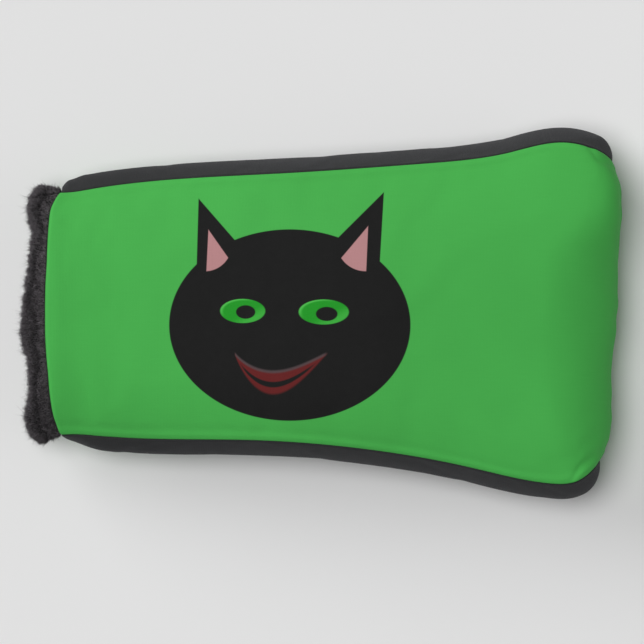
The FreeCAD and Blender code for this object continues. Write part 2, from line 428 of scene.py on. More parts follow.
def sampled(values, rows, columns):
    """Values of a grid at fractional rows and columns, by Catmull-Rom curves both ways."""

    def weights(t):
        return (
            (-t + 2 * t**2 - t**3) / 2,
            (2 - 5 * t**2 + 3 * t**3) / 2,
            (t + 4 * t**2 - 3 * t**3) / 2,
            (-(t**2) + t**3) / 2,
        )

    last_row, last_column = values.shape[0] - 1, values.shape[1] - 1
    row = np.clip(np.floor(rows).astype(int), 0, last_row - 1)
    column = np.clip(np.floor(columns).astype(int), 0, last_column - 1)
    total = 0
    for i, a in enumerate(weights(rows - row)):
        for j, b in enumerate(weights(columns - column)):
            r, c = np.clip(row + i - 1, 0, last_row), np.clip(column + j - 1, 0, last_column)
            total = total + (a * b)[..., None] * values[r, c]
    return total


# How much of the simulated buckling the foam behind the cloth lets show, in the open and along the seams.
# It changes from SHOWN_FROM, a place between a piece's middle, 0, and its seam, 1, over SHOWN_LENGTH.
SHOWN_OPEN, SHOWN_SEAM = 0.15, 0.2
SHOWN_FROM, SHOWN_LENGTH = 0.5, 0.3
MOVED = simulate()


def settled(name, u, v):
    """How far the cloth has moved at u and v of a piece."""
    if not MOVED:
        return 0.0
    if name in PANELS:
        row = np.minimum(u / STRAIGHT_SHARE, 1) * (ROWS_STRAIGHT - 1)
        row = row + np.clip((u - STRAIGHT_SHARE) / (1 - STRAIGHT_SHARE), 0, 1) * (ROWS_ROUND - 1)
    else:
        row = u * (ROWS_STRAIGHT - 1)
    column = (v + 1) / 2 * (MOVED[name].shape[1] - 1)
    shown = SHOWN_OPEN + (SHOWN_SEAM - SHOWN_OPEN) * smooth((np.abs(v) - SHOWN_FROM) / SHOWN_LENGTH)
    return sampled(MOVED[name], row, column) * shown[..., None]


# ---------------------------------------------------------------- closed cloth pieces

# At a seam the cloth turns inwards over this radius.
SEAM_TURN = 0.8
ROWS, ACROSS = 221, 101
GUSSET_ACROSS = 61
# How much closer the points stand near the edges, along a piece and across it.
CROWDED_ALONG, CROWDED_ACROSS = 0.5, 0.62


def crowded(low, high, count, ends):
    """count numbers from low to high, closer together at both ends, or at neither if ends is 0."""
    t = np.linspace(-1, 1, count)
    t = t + ends * np.sin(math.pi * t) / math.pi
    return low + (high - low) * (t + 1) / 2


def normals(name, p):
    """The unit normals of a grid of points, out of the cover."""
    n = unit(np.cross(np.gradient(p, axis=0), np.gradient(p, axis=1)))
    return -n if name in INSIDE_OUT else n


def seam_out(name, u, v):
    """The way out half-way between a panel's and a gusset's, at the nearest point of their seam."""
    if name in PANELS:
        turn, q, side = end_turn(u), seam_share(u), SIDES[name]
        seams = [(RIGHT, v < 0), (LEFT, v >= 0)]
    else:
        round_turn = np.where(u >= 1, QUARTER * (1 - np.abs(v)), 0.0)
        turn, side = round_turn, np.where(v < 0, -1, 1)
        q = u * (1 - GUSSET_ROUND) + np.where(u >= 1, GUSSET_ROUND * np.sin(round_turn), 0.0)
        seams = [(SEAMS[name], np.ones_like(v, bool))]
    total = np.zeros(v.shape + (3,))
    for seam, here in seams:
        _, out = seam.plan(q)
        along = np.stack([out[..., 1], -out[..., 0]], -1) * seam.outward
        flat = out + along * np.sin(turn)[..., None]
        both = np.concatenate([flat, (side * np.cos(turn))[..., None]], -1)
        total = np.where(here[..., None], both, total)
    return unit(total)


def drop(s):
    """How far the cloth has turned in at distance s from a seam: a quarter circle."""
    return SEAM_TURN - np.sqrt(SEAM_TURN**2 - np.clip(SEAM_TURN - s, 0, SEAM_TURN) ** 2)


def reach(p, axis):
    """Each point's distance along one axis of the grid from that axis's start and from its end."""
    steps = np.linalg.norm(np.diff(p, axis=axis), axis=-1)
    pad = [(1, 0), (0, 0)] if axis == 0 else [(0, 0), (1, 0)]
    run = np.cumsum(np.pad(steps, pad), axis=axis)
    return run, (run[-1:] if axis == 0 else run[:, -1:]) - run


def turned_in(name, p, u, v):
    """How far each point of a shell piece moves where its edges turn in at the seams."""
    n = normals(name, p)
    from_mouth, from_end = reach(p, 0)
    from_low, from_high = reach(p, 1)
    side = np.minimum(from_low, from_high)
    if name in SEAMS:
        at_tip = from_end < side
        side = np.minimum(side, from_end)
        out = seam_out(name, np.where(at_tip, 1.0, u), v)
        across = 0.0
    else:
        out = seam_out(name, u, v)
        across = drop(from_end)
    blend = smooth(side / (2 * SEAM_TURN))[..., None]
    seam_way = unit(out * (1 - blend) + n * blend)
    own = np.maximum(drop(from_mouth), across)
    return -(seam_way * drop(side)[..., None] + n * own[..., None])


# Folds in a panel's cloth. At each far corner of the front a crease leaves the seam at x, runs away from it
# over a length to its full distance, and fades around a middle x.
CORNERS = {"left": (184.0, 5.5, 4.0, 188.5), "right": (176.0, 8.0, 4.8, 183.5)}
CREASE, CREASE_WIDTH, CREASE_LENGTH = 0.45, 1.3, 4.5
CREASE_RAISED = 0.6
# A ridge and a dip along each seam and along the hem, as (height, distance from the edge, width).
SEAM_RIDGE, SEAM_DIP = (0.18, 2.2, 1.1), (0.108, 4.6, 1.6)
HEM_RIDGE, HEM_DIP = (0.22, 3.5, 3.0), (0.13, 11.5, 4.5)
# The front's hem is slack on the right, where its dip is deeper by this share.
HEM_SLACK, SLACK_FROM, SLACK_LENGTH = 1.5, -0.2, 0.6


def crease(x, away, start, length, full, middle):
    """A corner's crease: a valley, with the cloth raised a little between it and the seam."""
    line = full * smooth((x - start) / length)
    raised = CREASE_RAISED * hill(away, line - 2 * CREASE_WIDTH, CREASE_WIDTH)
    return -CREASE * (hill(away, line, CREASE_WIDTH) - raised) * hill(x, middle, CREASE_LENGTH)


def fold(t, height, place, width):
    """A straight fold's height at distance t."""
    return height * hill(t, place, width)


def folds(name, p, v):
    """How far the cloth of a panel stands out in its hem, along its seams and beside its creases."""
    from_right, from_left = reach(p, 1)
    side = np.minimum(from_right, from_left)
    x = p[..., 0]
    slack = 1 + HEM_SLACK * smooth((SLACK_FROM - v) / SLACK_LENGTH) if name == "front" else 1.0
    total = fold(side, *SEAM_RIDGE) - fold(side, *SEAM_DIP)
    total = total + fold(x, *HEM_RIDGE) - slack * fold(x, *HEM_DIP)
    if name == "front":
        total = total + crease(x, from_left, *CORNERS["left"]) + crease(x, from_right, *CORNERS["right"])
    return total


def closed_piece(outer, inner, turned):
    """Points and faces of the closed solid between two grids of the same size."""
    rows, columns = outer.shape[:2]
    count = rows * columns
    i = np.arange(count).reshape(rows, columns)
    ring = np.concatenate([i[:-1, 0], i[-1, :-1], i[:0:-1, -1], i[0, :0:-1]])
    after = np.roll(ring, -1)
    rim = np.stack([after, ring, ring + count, after + count], -1)
    rim = rim[:, ::-1] if turned else rim
    faces = [quads(rows, columns, turned), quads(rows, columns, not turned, count), rim]
    return np.concatenate([outer.reshape(-1, 3), inner.reshape(-1, 3)]), np.concatenate(faces)


def add_piece(name, points, faces, material, slot, *nodes):
    """Makes a smooth-shaded object that stands for CAD nodes."""
    mesh = bpy.data.meshes.new(name)
    mesh.from_pydata(placed(points).tolist(), [], faces.tolist())
    mesh.shade_smooth()
    mesh.materials.append(material)
    piece = bpy.data.objects.new(name, mesh)
    bpy.context.scene.collection.objects.link(piece)
    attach(piece, "root")
    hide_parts(*nodes)
    return piece


def cloth_map(piece, u, v):
    """Writes each point's place on the flat cloth, in millimetres, as the UV map that the weave follows."""
    mesh = piece.data
    layer = mesh.uv_layers.new(name="cloth")
    flat = np.stack([u.ravel(), v.ravel()], -1)
    corners = np.empty(len(mesh.loops), int)
    mesh.loops.foreach_get("vertex_index", corners)
    layer.data.foreach_set("uv", np.tile(flat, (2, 1))[corners].astype(np.float32).ravel())


def cloth_place(p):
    """Distances over the cloth, in millimetres: along from the mouth, and across from the middle."""
    along = reach(p, 0)[0]
    middle = p.shape[1] // 2
    across = reach(p, 1)[0]
    return along + p[0, :, 0] - along[0], across - across[:, middle : middle + 1]


def shell_piece(name, node, material, slot):
    """One piece of the shell's cloth."""
    panel = name in PANELS
    us = crowded(0, 1, ROWS, CROWDED_ALONG)
    vs = crowded(-1, 1, ACROSS if panel else GUSSET_ACROSS, CROWDED_ACROSS)
    u, v = np.meshgrid(us, vs, indexing="ij")
    p = surface(name, us, vs)
    move = turned_in(name, p, u, v) + settled(name, u, v)
    if panel:
        move = move + normals(name, p) * folds(name, p, v)[..., None]
    outer = p + move
    inner = surface(name, us, vs, SHELL) + move
    low = -FLOOR_DEPTH
    outer[..., 2] = np.maximum(outer[..., 2], low)
    inner[..., 2] = np.maximum(inner[..., 2], low + SHELL)
    points, faces = closed_piece(outer, inner, name in INSIDE_OUT)
    piece = add_piece(node + "_cloth", points, faces, material, slot, node)
    cloth_map(piece, *cloth_place(p))


# The lining's matted pile: its waves as (pitch, share), their bends along and across as (size, pitch's
# share), and about how wide half of the lining is.
MATTED_WAVES = ((7.1, 0.5), (3.7, 0.3), (2.1, 0.2))
MATTED_BENDS = ((1.3, 0.7), (1.1, 0.6))
MATTED_ACROSS = 50.0
MATTED_HEIGHT = 0.45


def matted(x, y):
    """The uneven height of matted pile at x and y, in millimetres."""
    (bend_x, rate_x), (bend_y, rate_y) = MATTED_BENDS
    total = np.zeros_like(x)
    for pitch, share in MATTED_WAVES:
        k = 2 * math.pi / pitch
        along = np.sin(k * x + bend_x * np.sin(rate_x * k * y))
        total = total + share * along * np.cos(k * y + bend_y * np.sin(rate_y * k * x))
    return MATTED_HEIGHT * total


def inner_piece(name, kind, us, vs, outer_depth, inner_depth, material, slot):
    """A layer behind the shell: foam or lining."""
    u, v = np.meshgrid(us, vs, indexing="ij")
    move = settled(name, u, v)
    outer = surface(name, us, vs, outer_depth) + move
    inner = surface(name, us, vs, inner_depth) + move
    if kind == "lining":
        inner = inner - normals(name, inner) * matted(u * LENGTH, v * MATTED_ACROSS)[..., None]
    points, faces = closed_piece(outer, inner, name in INSIDE_OUT)
    piece = add_piece(f"{name}_{kind}_layer", points, faces, material, slot, f"{name}_{kind}")


# ---------------------------------------------------------------- pile

# Strands draw together into tufts, apart from a share of loose ones. Their roots stand this deep in the
# backing, and a strand has this many points.
STRANDS_PER_TUFT = 26
LOOSE_SHARE = 0.2
ROOTED = 0.4
STRAND_POINTS = 7
# How far tufts lean, how long tufts and strands are, and how far strands are pulled to their tuft's middle.
TUFT_LEAN = 0.6
TUFT_SIZES, STRAND_SIZES, PULLS = (0.6, 1.15), (0.7, 1.1), (0.15, 0.6)
# How far loose tips, other tips and bends stray, as shares of the strand's length.
LOOSE_STRAY, TIP_STRAY, BEND_STRAY = 0.4, 0.17, 0.12
# A strand's bend: its place along the strand, how thick the strand still is there, and the shares of the
# backing's way out and of the tip's direction that lead to it.
BEND_AT, BEND_SIZE = 0.55, 0.8
BEND_OUT, BEND_TIP = 0.7, 0.3
NEAREST_AT_ONCE = 2000


def strands(random, roots, outs, lengths, radius):
    """Tapered, once-bent strands that draw together into tufts: their points, faces and heights."""
    count = len(roots)
    chosen = random.choice(count, max(4, count // STRANDS_PER_TUFT), replace=False)
    nearest = np.empty(count, int)
    for a in range(0, count, NEAREST_AT_ONCE):
        b = a + NEAREST_AT_ONCE
        nearest[a:b] = np.linalg.norm(roots[a:b, None] - roots[chosen][None], axis=-1).argmin(1)
    tuft_way = unit(outs[chosen] + random.normal(size=(len(chosen), 3)) * TUFT_LEAN)
    tuft_size = random.uniform(*TUFT_SIZES, len(chosen))
    lengths = lengths * tuft_size[nearest] * random.uniform(*STRAND_SIZES, count)
    loose = random.uniform(size=count) < LOOSE_SHARE
    straight = roots + outs * lengths[:, None]
    aim = (roots[chosen] + tuft_way * lengths.mean())[nearest]
    pull = np.where(loose, 0.0, random.uniform(*PULLS, count))
    stray = np.where(loose, LOOSE_STRAY, TIP_STRAY) * lengths
    tips = straight + (aim - straight) * pull[:, None] + random.normal(size=(count, 3)) * stray[:, None]
    bends = roots + (outs * BEND_OUT + unit(tips - roots) * BEND_TIP) * (lengths * BEND_AT)[:, None]
    bends = bends + random.normal(size=(count, 3)) * (BEND_STRAY * lengths)[:, None]
    along = unit(tips - roots)
    side = unit(np.cross(along, random.normal(size=(count, 3))))
    other = np.cross(along, side)
    rings = []
    for centre, size in ((roots - outs * ROOTED, 1.0), (bends, BEND_SIZE)):
        for k in range(3):
            turn = 2 * math.pi * k / 3
            rings.append(centre + (side * math.cos(turn) + other * math.sin(turn)) * (radius * size))
    points = np.stack(rings + [tips], 1)
    sides = np.array([(k, (k + 1) % 3, 3 + (k + 1) % 3, 3 + k) for k in range(3)])
    ends = np.array([(3 + k, 3 + (k + 1) % 3, 6) for k in range(3)] + [(2, 1, 0)])
    start = STRAND_POINTS * np.arange(count)[:, None, None]
    heights = np.tile([0.0] * 3 + [BEND_AT] * 3 + [1.0], count)
    return points.reshape(-1, 3), [(start + f).reshape(-1, f.shape[1]) for f in (sides, ends)], heights


def add_pile(piece, points, faces, heights, base_height):
    """Joins strands to a piece's mesh, and writes how far up the pile each point is: its painted shade."""
    mesh = piece.data
    base = np.empty(len(mesh.vertices) * 3)
    mesh.vertices.foreach_get("co", base)
    base = base.reshape(-1, 3)
    old = [list(f.vertices) for f in mesh.polygons]
    new = [f.tolist() for group in faces for f in group + len(base)]
    joined = bpy.data.meshes.new(mesh.name)
    joined.from_pydata(np.concatenate([base, placed(points)]).tolist(), [], old + new)
    joined.shade_smooth()
    joined.materials.append(mesh.materials[0])
    attribute = joined.attributes.new("pile_painted_shade", "FLOAT", "POINT")
    height = np.concatenate([np.full(len(base), base_height), heights])
    attribute.data.foreach_set("value", height.astype(np.float32))
    piece.data = joined
    bpy.data.meshes.remove(mesh)


# The cuff's pile and the roll of backing under it. The pile's front outline, as (y, x), is lumpy.
CUFF_FRONT = [
    (-45.5, -2.5),
    (-41.5, -6.6),
    (-36.5, -8.1),
    (-27.0, -5.9),
    (-17.0, -6.7),
    (-10.0, -8.7),
    (-6.0, -9.0),
    (3.0, -8.1),
    (13.0, -6.7),
    (26.5, -5.0),
    (34.0, -7.1),
    (39.0, -6.1),
    (44.5, -1.8),
]
CUFF_LUMP = 2.5
CUFF_PILE, PILE_SHOWN = 2.6, 0.75
CUFF_OUTER = 1.3
CUFF_SIDE_SWELL = {"left": 3.0, "right": 4.7}
CUFF_INNER = 6.0
CUFF_AROUND = 25
CUFF_COLUMNS = {"front": 141, "back": 141, "left": 33, "right": 33}
# The backing turns a little further than half round at both edges, and is this thick.
TURNED_PAST = 0.25
BACKING = 1.2
# A furrow runs along the cuff at this turn, this wide, and takes this much of the backing, of the strands'
# length and of their lightness, the last being painted shade in the furrow.
FURROW, FURROW_WIDTH = 0.62, 0.17
FURROW_WANDER = ((0.18, 6.0), (0.1, 2.3))
FURROW_DEPTH, FURROW_SHORTER, FURROW_PAINTED_SHADE = 0.9, 0.5, 0.55
# Near a shell piece's edge, up to EDGE_TURN, the pile leans forwards by EDGE_LEAN and is only a share
# EDGE_LENGTH long, so that it doesn't cover the edge. On the side lengths both are weaker by SIDE_EDGE.
EDGE_TURN = 1.1
EDGE_LENGTH = 0.45
EDGE_LEAN = 0.9
SIDE_EDGE = 0.6
# Up to this turn the front's pile is lighter, as painted light on the strip beside the panel's edge. Across
# the cover that starts at the place on the right given below, and is full after the length given after it.
PAINTED_LIGHT_TURN = 0.9
PAINTED_LIGHT_FROM, PAINTED_LIGHT_LENGTH = -34.0, 20.0
# The pile goes this far past a half turn.
PILE_PAST = 0.2
STRAND_RADIUS = 0.07
STRANDS = {"front": 21000, "back": 21000, "left": 4500, "right": 4500}


def cuff_point(name, v, turn, grow=0.0):
    """A point of the cuff's roll: turn goes from 0 at the outer side to pi at the inner side."""
    u = np.zeros_like(v)
    outside = PIECES[name](u, v, CUFF_OUTER - grow)
    inside = PIECES[name](u, v, CUFF_INNER + grow)
    rim = (outside + inside) / 2 + (outside - inside) / 2 * np.cos(turn)[..., None]
    forward = np.sin(turn)
    if name in SEAMS:
        rim = rim + unit(outside - inside) * (CUFF_SIDE_SWELL[name] * (1 - v * v) * forward)[..., None]
    front = through(CUFF_FRONT, rim[..., 1], CUFF_LUMP) + PILE_SHOWN * CUFF_PILE
    rim[..., 0] = rim[..., 0] * (1 - forward) + (front - grow) * forward
    return rim


def furrow(turn, y):
    """Where the furrow runs along the cuff: 1 in its middle."""
    wander = sum(size * np.sin(y / length) for size, length in FURROW_WANDER)
    return hill(turn, FURROW + wander, FURROW_WIDTH)


def cuff_piece(name, material):
    """A length of the rolled edge: backing, and pile all over it."""
    random = np.random.default_rng(SEED + list(PIECES).index(name))
    vs = np.linspace(-1, 1, CUFF_COLUMNS[name])
    turns = np.linspace(-TURNED_PAST, math.pi + TURNED_PAST, CUFF_AROUND)
    v, turn = np.meshgrid(vs, turns, indexing="ij")
    outer = cuff_point(name, v, turn)
    outs = unit(cuff_point(name, v, turn, 1.0) - outer)
    outer = outer - outs * furrow(turn, outer[..., 1])[..., None] * FURROW_DEPTH
    inner = cuff_point(name, v, turn, -BACKING)
    inner[..., 0] = np.maximum(inner[..., 0], outer[..., 0])
    turned = name not in INSIDE_OUT
    points, faces = closed_piece(outer, inner, turned)
    piece = add_piece(name + "_cuff_pile", points, faces, material, "pile_cuff", name + "_cuff")

    count = STRANDS[name]
    v, turn = random.uniform(-1, 1, count), random.uniform(0.0, math.pi + PILE_PAST, count)
    roots = cuff_point(name, v, turn)
    outs = unit(cuff_point(name, v, turn, 1.0) - roots)
    edge = smooth(turn / EDGE_TURN)
    if name in SEAMS:
        edge = SIDE_EDGE + (1 - SIDE_EDGE) * edge
    outs = unit(outs + np.stack([-EDGE_LEAN * (1 - edge), 0 * v, 0 * v], -1))
    shaded = furrow(turn, roots[:, 1])
    lengths = CUFF_PILE * (EDGE_LENGTH + (1 - EDGE_LENGTH) * edge) * (1 - FURROW_SHORTER * shaded)
    points, faces, heights = strands(random, roots, outs, lengths, STRAND_RADIUS)
    # Painted light: the front's pile is lighter on the strip beside the panel's edge.
    if name == "front":
        light = (1 - smooth(turn / PAINTED_LIGHT_TURN)) * smooth((roots[:, 1] - PAINTED_LIGHT_FROM) / PAINTED_LIGHT_LENGTH)
        heights = heights + (1 - heights) * np.repeat(light, STRAND_POINTS)
    # Painted shade: the strands in the furrow are darker.
    heights = heights * np.repeat(1 - FURROW_PAINTED_SHADE * shaded, STRAND_POINTS)
    add_pile(piece, points, faces, heights, base_height=0.1)


# ---------------------------------------------------------------- materials

CLOTH_IOR = 1.4
CLOTH_GLOSS = 0.2
# Relief is given in millimetres times this, because a bump's distance is in metres.
BUMP = MM


class Graph:
    """A material's nodes, with short names for what is made of them."""

    def __init__(self, name):
        self.material = bpy.data.materials.new(name)
        self.material.use_nodes = True
        self.tree = self.material.node_tree
        self.shader = self.tree.nodes["Principled BSDF"]
        self.put(self.shader, {"IOR": CLOTH_IOR, "Specular IOR Level": CLOTH_GLOSS})

    def put(self, node, inputs):
        """Sets inputs to numbers, colours or other nodes' outputs. None leaves an input as it is."""
        for key, value in inputs.items():
            if isinstance(value, bpy.types.NodeSocket):
                self.tree.links.new(value, node.inputs[key])
            elif value is not None:
                node.inputs[key].default_value = value

    def node(self, kind, inputs, output=0, **settings):
        """One output of a new node."""
        made = self.tree.nodes.new(kind)
        for key, value in settings.items():
            setattr(made, key, value)
        self.put(made, inputs)
        return made.outputs[output]

    def math(self, operation, *values):
        return self.node("ShaderNodeMath", dict(enumerate(values)), operation=operation)

    def plus(self, a, b):
        return self.math("ADD", a, b)

    def minus(self, a, b):
        return self.math("SUBTRACT", a, b)

    def times(self, a, b):
        return self.math("MULTIPLY", a, b)

    def linear(self, value, slope, start):
        return self.math("MULTIPLY_ADD", value, slope, start)

    def scaled(self, value, low, high, to_low=0.0, to_high=1.0):
        """Maps low..high smoothly to to_low..to_high, level outside."""
        ends = {"From Min": low, "From Max": high, "To Min": to_low, "To Max": to_high}
        return self.node("ShaderNodeMapRange", {"Value": value, **ends}, interpolation_type="SMOOTHSTEP")

    def mix(self, share, a, b, blend="MIX"):
        inputs = {"Factor": share, "A": a, "B": b}
        return self.node("ShaderNodeMix", inputs, "Result", data_type="RGBA", blend_type=blend)

    def place(self):
        """Where a point is in the frame, in millimetres."""
        where = self.node("ShaderNodeTexCoord", {}, "Object")
        return self.node("ShaderNodeVectorMath", {0: where, "Scale": 1 / MM}, operation="SCALE")

    def flat_place(self):
        """Where a point is on the flat cloth, in millimetres."""
        return self.node("ShaderNodeUVMap", {}, uv_map="cloth")

    def axes(self, vector):
        """A vector's x, y and z."""
        return self.node("ShaderNodeSeparateXYZ", {0: vector}).node.outputs

    def noise(self, vector, size, detail=2.0):
        """Smooth noise from 0 to 1 with features about size across, in the vector's units."""
        inputs = {"Vector": vector, "Scale": 1 / size, "Detail": detail}
        return self.node("ShaderNodeTexNoise", inputs, "Fac")

    def stretched(self, vector, *scales):
        return self.node("ShaderNodeVectorMath", {0: vector, 1: scales}, operation="MULTIPLY")

    def bump(self, height, distance, strength, normal=None):
        """Relief from a height of 0 to 1 that stands for distance in metres."""
        inputs = {"Strength": strength, "Distance": distance, "Height": height, "Normal": normal}
        return self.node("ShaderNodeBump", inputs)

    def sheen(self, weight, roughness, tint):
        self.put(self.shader, {"Sheen Weight": weight, "Sheen Roughness": roughness, "Sheen Tint": tint})

    def finish(self, colour, roughness, normal=None):
        self.put(self.shader, {"Base Color": colour, "Roughness": roughness, "Normal": normal})
        return self.material


def woven(graph, pitch, ribbed):
    """A plain weave's height, from 0 to 1: threads that pass over and under each other."""
    x, y, _ = graph.axes(graph.flat_place())
    turn = math.pi / pitch
    over = graph.math("SINE", graph.times(x, turn))
    under = graph.math("SINE", graph.times(y, turn * ribbed))
    share = graph.scaled(graph.times(over, under), -0.3, 0.3)
    warp = graph.times(graph.math("ABSOLUTE", over), share)
    weft = graph.times(graph.math("ABSOLUTE", under), graph.minus(1.0, share))
    return graph.plus(warp, weft)


def disc(graph, x, y, centre, across, high):
    """Roughly the distance outside an ellipse, in millimetres, less than 0 inside it."""
    dx = graph.math("DIVIDE", graph.minus(x, centre[0]), across)
    dy = graph.math("DIVIDE", graph.minus(y, centre[1]), high)
    squares = graph.plus(graph.times(dx, dx), graph.times(dy, dy))
    away = graph.minus(graph.math("SQRT", squares), 1.0)
    return graph.times(away, min(across, high))


def edge_line(graph, x, y, start, end):
    """The distance to the right of the line from start to end, in millimetres."""
    along = unit(np.array(end) - np.array(start))
    right = (along[1], -along[0])
    offset = -(right[0] * start[0] + right[1] * start[1])
    first = graph.linear(x, float(right[0]), float(offset))
    return graph.linear(y, float(right[1]), first)


def within(graph, *distances):
    """The share of a shape that lies inside all the distances: 1 inside, 0 outside, soft at its edge."""
    furthest = distances[0]
    for distance in distances[1:]:
        furthest = graph.math("MAXIMUM", furthest, distance)
    return graph.scaled(furthest, -PRINT_SOFT, PRINT_SOFT, 1.0, 0.0)


def triangle(graph, x, y, a, b, c):
    """A triangle, its corners given anticlockwise."""
    return within(graph, *[edge_line(graph, x, y, p, q) for p, q in ((a, b), (b, c), (c, a))])


# The printed cat, in cover millimetres. Corners go anticlockwise.
PRINT_SOFT = 0.16
HEAD = ((83.5, -4.8), 41.1, 32.6)
EARS = [
    ((52.4, 38.4), (51.7, 12.0), (68.0, 20.5)),
    ((115.6, 40.5), (96.5, 21.5), (113.9, 12.0)),
]
EAR_LININGS = [
    (((55.8, 27.7), (55.1, 13.0)), ((62.9, 17.6), (55.8, 27.7)), (54.6, 22.7), 9.15),
    (((109.5, 13.0), (110.2, 28.9)), ((110.2, 28.9), (100.7, 17.6)), (109.3, 23.4), 9.85),
]
EYES = [((67.5, 0.0), 7.65, 4.1), ((95.1, -0.34), 8.5, 4.25)]
PUPILS = [((68.5, -0.34), 3.3, 2.3), ((96.1, -1.0), 3.7, 2.4)]
SMILE_START, SMILE_WIDTH, SMILE_TOP = 64.6, 32.3, -14.0
SMILE_LOW, SMILE_HIGH = 14.6, 6.6
SMILE_LEAN = 0.78
# The dark line that parts the lips: how far up between their curves it is, and its half width.
PARTING_UP, PARTING_HALF = 0.44, 1.1
# An eye's lit rim, by the distance outside its edge, and its light and glow, by how far up and left.
EYE_RIM, EYE_LIT, EYE_GLOW = (-0.75, -0.1), (0.2, 1.3), (-0.2, -1.2, 0.0, 0.45)
BLACK_INK = (0.0095, 0.0095, 0.0095, 1)
PINK_INK = (0.475, 0.237, 0.243, 1)
EYE_INK = (0.016, 0.310, 0.020, 1)
EYE_LIGHT = (0.085, 0.540, 0.085, 1)
RED_INK = (0.130, 0.015, 0.015, 1)
GREY_INK = (0.110, 0.075, 0.080, 1)
GREEN = (0.064, 0.424, 0.0755, 1)
CHARCOAL = (0.032, 0.033, 0.034, 1)
FOAM_HOLLOW_SHADE, FOAM_WALL = (0.42, 0.42, 0.40, 1), (0.75, 0.75, 0.72, 1)
FOAM_CELLS = 1.6
THREAD_GROOVE_SHADE, THREAD_LIGHT = (0.014, 0.014, 0.015, 1), (0.045, 0.045, 0.047, 1)
# The pile's root colour is painted shade between the strands.
PILE_ROOT_SHADE, PILE_TIP = (0.024, 0.0215, 0.0235, 1), (0.150, 0.135, 0.146, 1)
PLY_TURN = 0.5


def smile(graph, x, y, colour):
    """Two lips between two curves that share their ends, parted by a thin dark line."""
    share = graph.math("DIVIDE", graph.minus(x, SMILE_START), SMILE_WIDTH)
    share = graph.math("MAXIMUM", graph.math("MINIMUM", share, 1.0), 0.0)
    sag = graph.math("SINE", graph.times(graph.math("POWER", share, SMILE_LEAN), math.pi))
    low = graph.linear(sag, -SMILE_LOW, SMILE_TOP)
    high = graph.linear(sag, -SMILE_HIGH, SMILE_TOP)
    above = graph.minus(y, low)
    below = graph.minus(high, y)
    inside = graph.math("MINIMUM", above, below)
    lips = graph.times(graph.scaled(inside, -0.3, 0.9), graph.scaled(sag, 0.0, 0.1))
    middle = graph.minus(graph.times(above, 1 - PARTING_UP), graph.times(below, PARTING_UP))
    away = graph.minus(graph.math("ABSOLUTE", middle), graph.times(sag, PARTING_HALF))
    parting = graph.scaled(away, -0.4, 0.1, 1.0, 0.0)
    parting = graph.times(parting, graph.scaled(sag, 0.25, 0.6))
    lips = graph.times(lips, graph.minus(1.0, parting))
    colour = graph.mix(lips, colour, RED_INK)
    upper = graph.scaled(graph.math("ABSOLUTE", graph.minus(below, 0.1)), 0.0, 0.9, 0.7, 0.0)
    upper = graph.times(upper, graph.scaled(sag, 0.02, 0.15))
    return graph.mix(upper, colour, GREY_INK)


def cat_print(graph, ground):
    """The cat's face over the ground colour."""
    x, y, _ = graph.axes(graph.place())
    x = graph.plus(x, float(ORIGIN[0]))
    y = graph.plus(y, float(ORIGIN[1]))
    colour = graph.mix(within(graph, disc(graph, x, y, *HEAD)), ground, BLACK_INK)
    for corners in EARS:
        colour = graph.mix(triangle(graph, x, y, *corners), colour, BLACK_INK)
    for outer, inner, centre, radius in EAR_LININGS:
        sides = [edge_line(graph, x, y, *line) for line in (outer, inner)]
        shape = within(graph, *sides, disc(graph, x, y, centre, radius, radius))
        colour = graph.mix(shape, colour, PINK_INK)
    for eye, pupil in zip(EYES, PUPILS):
        (cx, cy), across, high = eye
        slant = graph.linear(x, -1 / across, cx / across)
        slant = graph.plus(slant, graph.linear(y, 1 / high, -cy / high))
        away = disc(graph, x, y, *eye)
        rim = graph.scaled(away, *EYE_RIM)
        lit = graph.times(rim, graph.scaled(slant, *EYE_LIT))
        glow = graph.scaled(slant, *EYE_GLOW)
        iris = graph.mix(graph.plus(lit, glow), EYE_INK, EYE_LIGHT)
        colour = graph.mix(within(graph, away), colour, iris)
        colour = graph.mix(within(graph, disc(graph, x, y, *pupil)), colour, BLACK_INK)
    return smile(graph, x, y, colour)


def panel_fabric(name, printed):
    """Smooth, tightly woven polyester, dyed green and printed on the front."""
    graph = Graph(name)
    flat = graph.flat_place()
    height = woven(graph, 0.5, 1.6)
    uneven = graph.noise(flat, 26.0)
    slubs = graph.noise(graph.stretched(flat, 0.12, 2.4, 1.0), 1.0)
    colour = cat_print(graph, GREEN) if printed else GREEN
    # Painted shade in the weave's low places, times uneven tone and slubs.
    weave_shade_and_tone = graph.linear(height, 0.10, 0.90)
    weave_shade_and_tone = graph.times(weave_shade_and_tone, graph.linear(uneven, 0.05, 0.975))
    weave_shade_and_tone = graph.times(weave_shade_and_tone, graph.linear(slubs, 0.06, 0.97))
    colour = graph.mix(1.0, colour, weave_shade_and_tone, "MULTIPLY")
    graph.sheen(0.02, 0.5, (0.8, 1.0, 0.8, 1))
    roughness = graph.linear(graph.noise(flat, 3.0), 0.10, 0.72)
    normal = graph.bump(height, 0.05 * BUMP, 0.5)
    return graph.finish(colour, roughness, graph.bump(slubs, 0.06 * BUMP, 0.4, normal))


